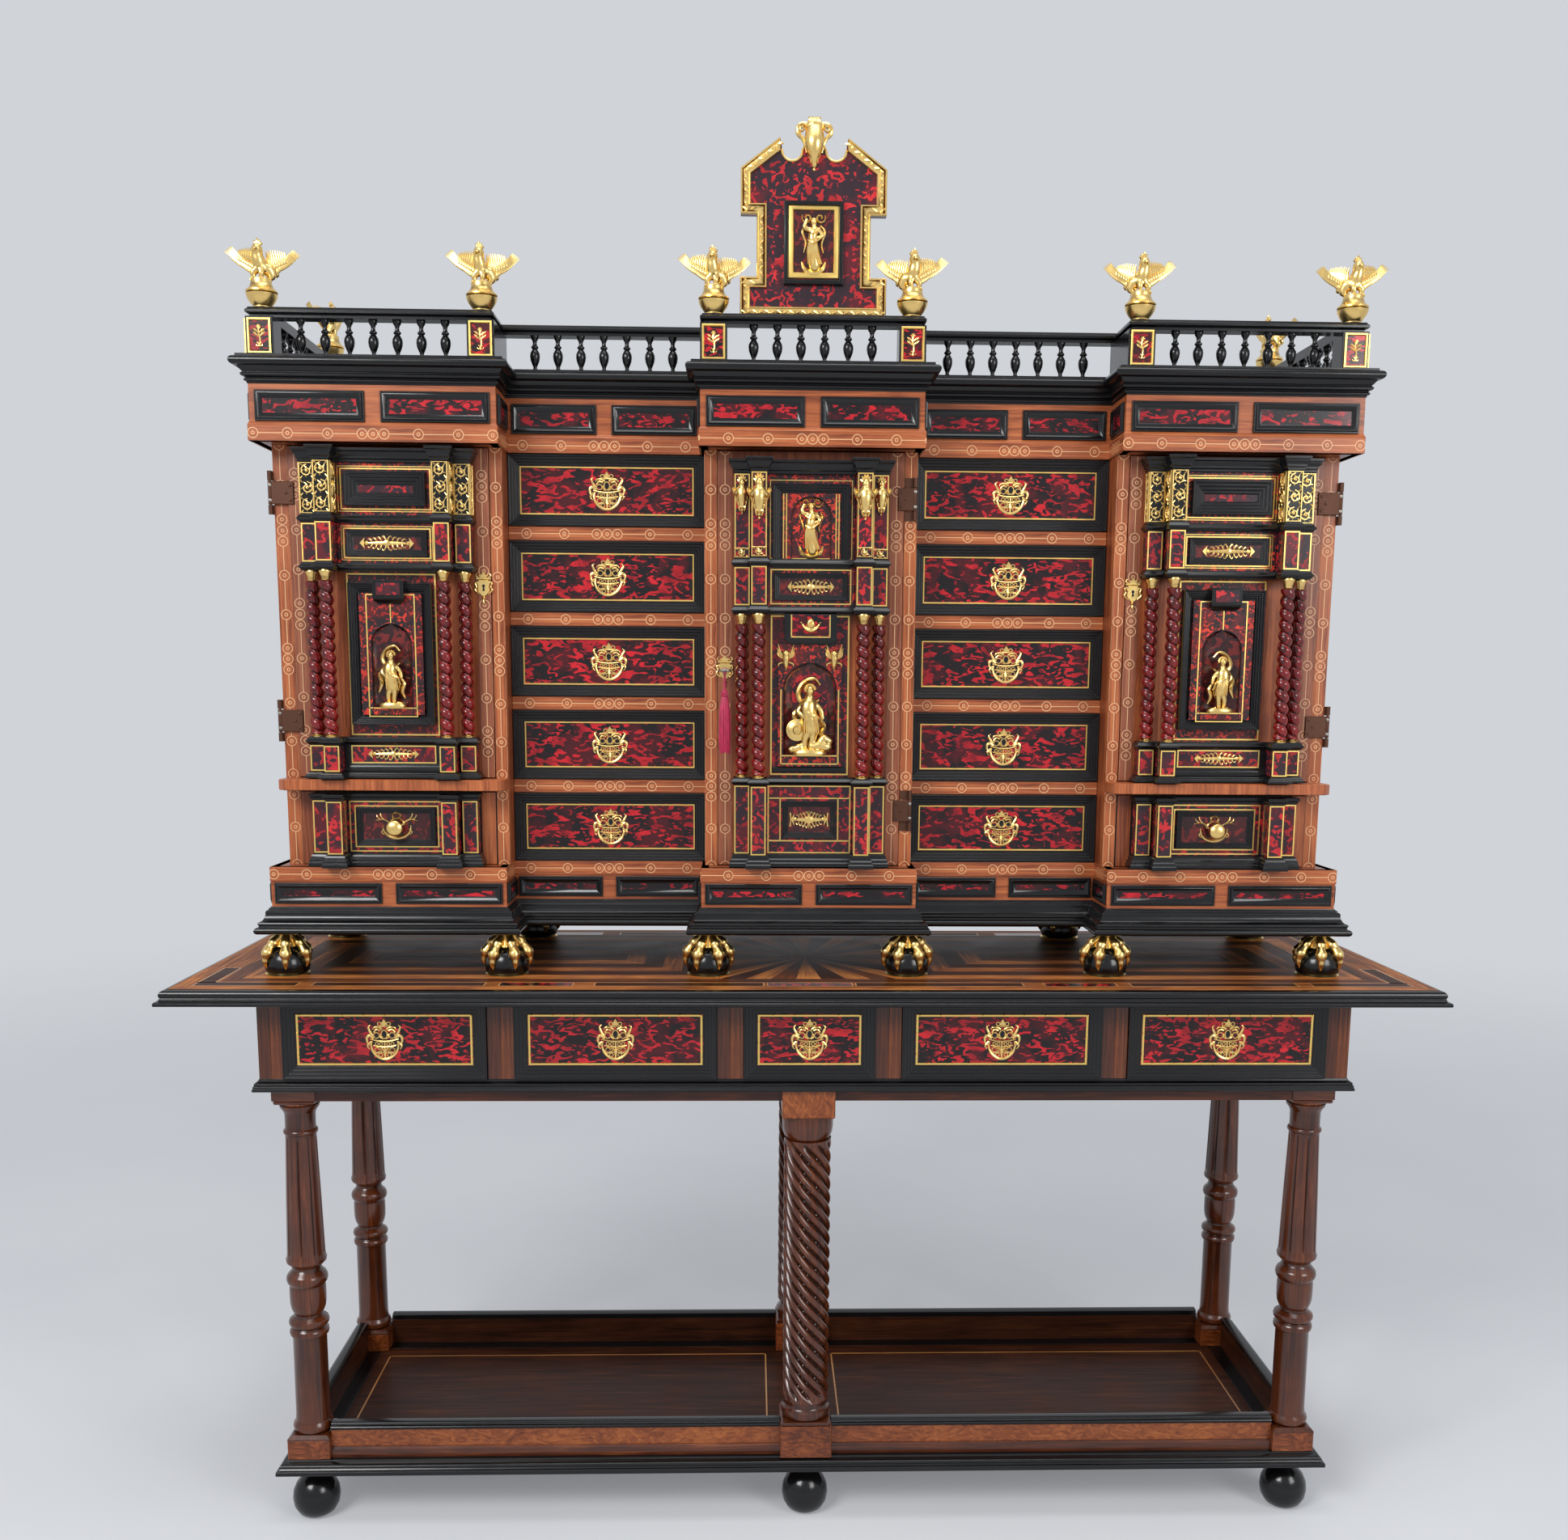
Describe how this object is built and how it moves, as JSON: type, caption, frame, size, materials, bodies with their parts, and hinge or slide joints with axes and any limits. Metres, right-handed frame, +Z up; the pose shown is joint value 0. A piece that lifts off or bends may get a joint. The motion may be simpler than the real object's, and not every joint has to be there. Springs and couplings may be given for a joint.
{
  "type": "cabinet on stand",
  "caption": "Stepped display cabinet with doors, recessed drawers, balustrade and winged finials, standing on a table with apron drawers, turned legs and a low shelf.",
  "frame": {"origin": "on the floor, under the middle of the table top", "axes": "+X right seen from the front, -Y towards the front, +Z up"},
  "size_m": [1.984, 0.592, 2.197],
  "materials": {
    "ebonised": "polished",
    "walnut": "waxed",
    "parquetry": "polished",
    "gilt": "gilt",
    "inlaid_wood": "polished",
    "tortoiseshell": "polished",
    "leaf_wood": "polished",
    "drawer_wood": "polished",
    "steel": "worn",
    "silk": "silky"
  },
  "bodies": {
    "cabinet": {"bun_feet": "ebonised", "platform_board": "walnut", "platform_moulding": "ebonised", "platform_rails": "walnut", "corner_legs": "walnut", "twist_legs": "walnut", "under_rails": "walnut", "waist_moulding": "ebonised", "drawer_floor": "walnut", "apron_frame": "walnut", "table_top": "parquetry", "table_edge_moulding": "ebonised", "foot_balls": "ebonised", "gilt_claws": "gilt", "base_moulding": "ebonised", "base_plinth": "inlaid_wood", "inlay_panels": "tortoiseshell", "carcass_boards": "inlaid_wood", "back_boards": "walnut", "face_frame": "inlaid_wood", "upper_frieze": "inlaid_wood", "cornice": "ebonised", "gallery_rails": "ebonised", "gallery_balusters": "ebonised", "griffin_finials": "gilt", "crest_board": "tortoiseshell", "crest_mount": "gilt", "hinge_plates": "gilt"},
    "table_drawer_1": {"table_drawer_1": "drawer_wood"},
    "drawer_left_1": {"drawer_left_1": "drawer_wood"},
    "drawer_right_1": {"drawer_right_1": "drawer_wood"},
    "table_drawer_2": {"table_drawer_2": "drawer_wood"},
    "drawer_left_2": {"drawer_left_2": "drawer_wood"},
    "drawer_right_2": {"drawer_right_2": "drawer_wood"},
    "table_drawer_3": {"table_drawer_3": "drawer_wood"},
    "drawer_left_3": {"drawer_left_3": "drawer_wood"},
    "drawer_right_3": {"drawer_right_3": "drawer_wood"},
    "table_drawer_4": {"table_drawer_4": "drawer_wood"},
    "drawer_left_4": {"drawer_left_4": "drawer_wood"},
    "drawer_right_4": {"drawer_right_4": "drawer_wood"},
    "table_drawer_5": {"table_drawer_5": "drawer_wood"},
    "drawer_left_5": {"drawer_left_5": "drawer_wood"},
    "drawer_right_5": {"drawer_right_5": "drawer_wood"},
    "base_drawer_left": {"base_drawer_left": "drawer_wood"},
    "base_drawer_right": {"base_drawer_right": "drawer_wood"},
    "door_left": {"door_left_leaf": "leaf_wood", "door_left_facade": "ebonised", "door_left_columns": "gilt", "door_left_mounts": "gilt"},
    "door_centre": {"door_centre_leaf": "leaf_wood", "door_centre_facade": "ebonised", "door_centre_columns": "gilt", "door_centre_mounts": "gilt"},
    "door_right": {"door_right_leaf": "leaf_wood", "door_right_facade": "ebonised", "door_right_columns": "gilt", "door_right_mounts": "gilt"},
    "lock_bolt": {"lock_bolt": "steel"},
    "key": {"key": "steel"},
    "key_tassel": {"key_tassel": "silk"}
  },
  "joints": [
    {"name": "table_drawer_1_slide", "type": "slide", "parent": "cabinet", "child": "table_drawer_1", "axis": [0, -1, 0], "range_m": [0, 0.3]},
    {"name": "table_drawer_2_slide", "type": "slide", "parent": "cabinet", "child": "table_drawer_2", "axis": [0, -1, 0], "range_m": [0, 0.3]},
    {"name": "table_drawer_3_slide", "type": "slide", "parent": "cabinet", "child": "table_drawer_3", "axis": [0, -1, 0], "range_m": [0, 0.3]},
    {"name": "table_drawer_4_slide", "type": "slide", "parent": "cabinet", "child": "table_drawer_4", "axis": [0, -1, 0], "range_m": [0, 0.3]},
    {"name": "table_drawer_5_slide", "type": "slide", "parent": "cabinet", "child": "table_drawer_5", "axis": [0, -1, 0], "range_m": [0, 0.3]},
    {"name": "drawer_left_1_slide", "type": "slide", "parent": "cabinet", "child": "drawer_left_1", "axis": [0, -1, 0], "range_m": [0, 0.2]},
    {"name": "drawer_left_2_slide", "type": "slide", "parent": "cabinet", "child": "drawer_left_2", "axis": [0, -1, 0], "range_m": [0, 0.2]},
    {"name": "drawer_left_3_slide", "type": "slide", "parent": "cabinet", "child": "drawer_left_3", "axis": [0, -1, 0], "range_m": [0, 0.2]},
    {"name": "drawer_left_4_slide", "type": "slide", "parent": "cabinet", "child": "drawer_left_4", "axis": [0, -1, 0], "range_m": [0, 0.2]},
    {"name": "drawer_left_5_slide", "type": "slide", "parent": "cabinet", "child": "drawer_left_5", "axis": [0, -1, 0], "range_m": [0, 0.2]},
    {"name": "base_drawer_left_slide", "type": "slide", "parent": "cabinet", "child": "base_drawer_left", "axis": [0, -1, 0], "range_m": [0, 0.25]},
    {"name": "drawer_right_1_slide", "type": "slide", "parent": "cabinet", "child": "drawer_right_1", "axis": [0, -1, 0], "range_m": [0, 0.2]},
    {"name": "drawer_right_2_slide", "type": "slide", "parent": "cabinet", "child": "drawer_right_2", "axis": [0, -1, 0], "range_m": [0, 0.2]},
    {"name": "drawer_right_3_slide", "type": "slide", "parent": "cabinet", "child": "drawer_right_3", "axis": [0, -1, 0], "range_m": [0, 0.2]},
    {"name": "drawer_right_4_slide", "type": "slide", "parent": "cabinet", "child": "drawer_right_4", "axis": [0, -1, 0], "range_m": [0, 0.2]},
    {"name": "drawer_right_5_slide", "type": "slide", "parent": "cabinet", "child": "drawer_right_5", "axis": [0, -1, 0], "range_m": [0, 0.2]},
    {"name": "base_drawer_right_slide", "type": "slide", "parent": "cabinet", "child": "base_drawer_right", "axis": [0, -1, 0], "range_m": [0, 0.25]},
    {"name": "door_left_hinge", "type": "hinge", "parent": "cabinet", "child": "door_left", "pos_m": [-0.833, -0.128, 1.2125], "axis": [0, 0, -1], "range_deg": [0, 100]},
    {"name": "door_right_hinge", "type": "hinge", "parent": "cabinet", "child": "door_right", "pos_m": [0.833, -0.128, 1.2125], "axis": [0, 0, 1], "range_deg": [0, 100]},
    {"name": "door_centre_hinge", "type": "hinge", "parent": "cabinet", "child": "door_centre", "pos_m": [0.1625, -0.128, 1.0745], "axis": [0, 0, -1], "range_deg": [-100, 0]},
    {"name": "key_turn", "type": "hinge", "parent": "door_centre", "child": "key", "pos_m": [-0.134, -0.12, 1.383], "axis": [0, -1, 0], "range_deg": [0, 90]},
    {"name": "lock_bolt_slide", "type": "slide", "parent": "door_centre", "child": "lock_bolt", "axis": [-1, 0, 0], "range_m": [0, 0.009]},
    {"name": "tassel_swing", "type": "hinge", "parent": "door_centre", "child": "key_tassel", "pos_m": [-0.134, -0.156, 1.383], "axis": [0, 1, 0], "range_deg": [-2, 8]}
  ],
  "couplings": [
    {"joint": "key_turn", "follows": "lock_bolt_slide", "rad_per_m": 174.51}
  ]
}
